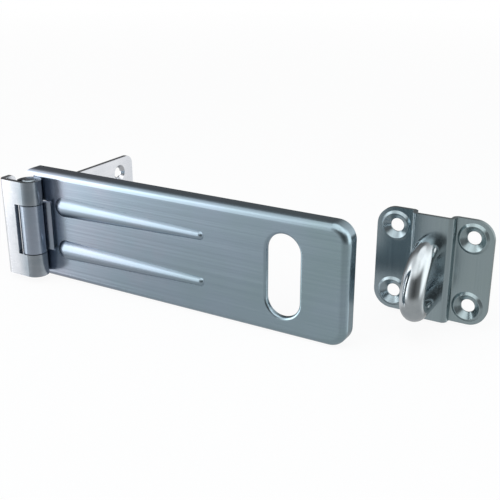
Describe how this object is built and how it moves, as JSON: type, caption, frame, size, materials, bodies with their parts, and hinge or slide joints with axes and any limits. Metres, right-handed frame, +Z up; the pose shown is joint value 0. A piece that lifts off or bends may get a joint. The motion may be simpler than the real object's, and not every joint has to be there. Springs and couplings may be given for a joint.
{
  "type": "safety hasp",
  "caption": "Hinged safety hasp with a ribbed, slotted strap on a right-angled wall leaf, and its separate staple with a round bar eye for a padlock.",
  "frame": {"origin": "on the back face of the hinge leaf, level with the hinge pin and half-way up the strap", "axes": "+X away from the leaf's wall along the strap as it stands at rest, +Y along the wall towards the leaf's far end, +Z up along the hinge pin"},
  "size_m": [0.1843, 0.0827, 0.0448],
  "materials": {
    "zinc_sheet": "bright zinc plate, semi-gloss",
    "zinc_pin": "bright zinc plate, semi-gloss",
    "bright_bar": "bright plated bar, glossy"
  },
  "bodies": {
    "hinge_base": {"hinge_leaf": "zinc_sheet", "hinge_pin": "zinc_pin", "staple_plate": "zinc_sheet", "staple_eye": "bright_bar"},
    "strap": {"hasp_strap": "zinc_sheet"}
  },
  "joints": [
    {"name": "strap_hinge", "type": "hinge", "parent": "hinge_base", "child": "strap", "pos_m": [0.01225, 0, 0], "axis": [0, 0, 1], "range_deg": [-90, 90]}
  ]
}
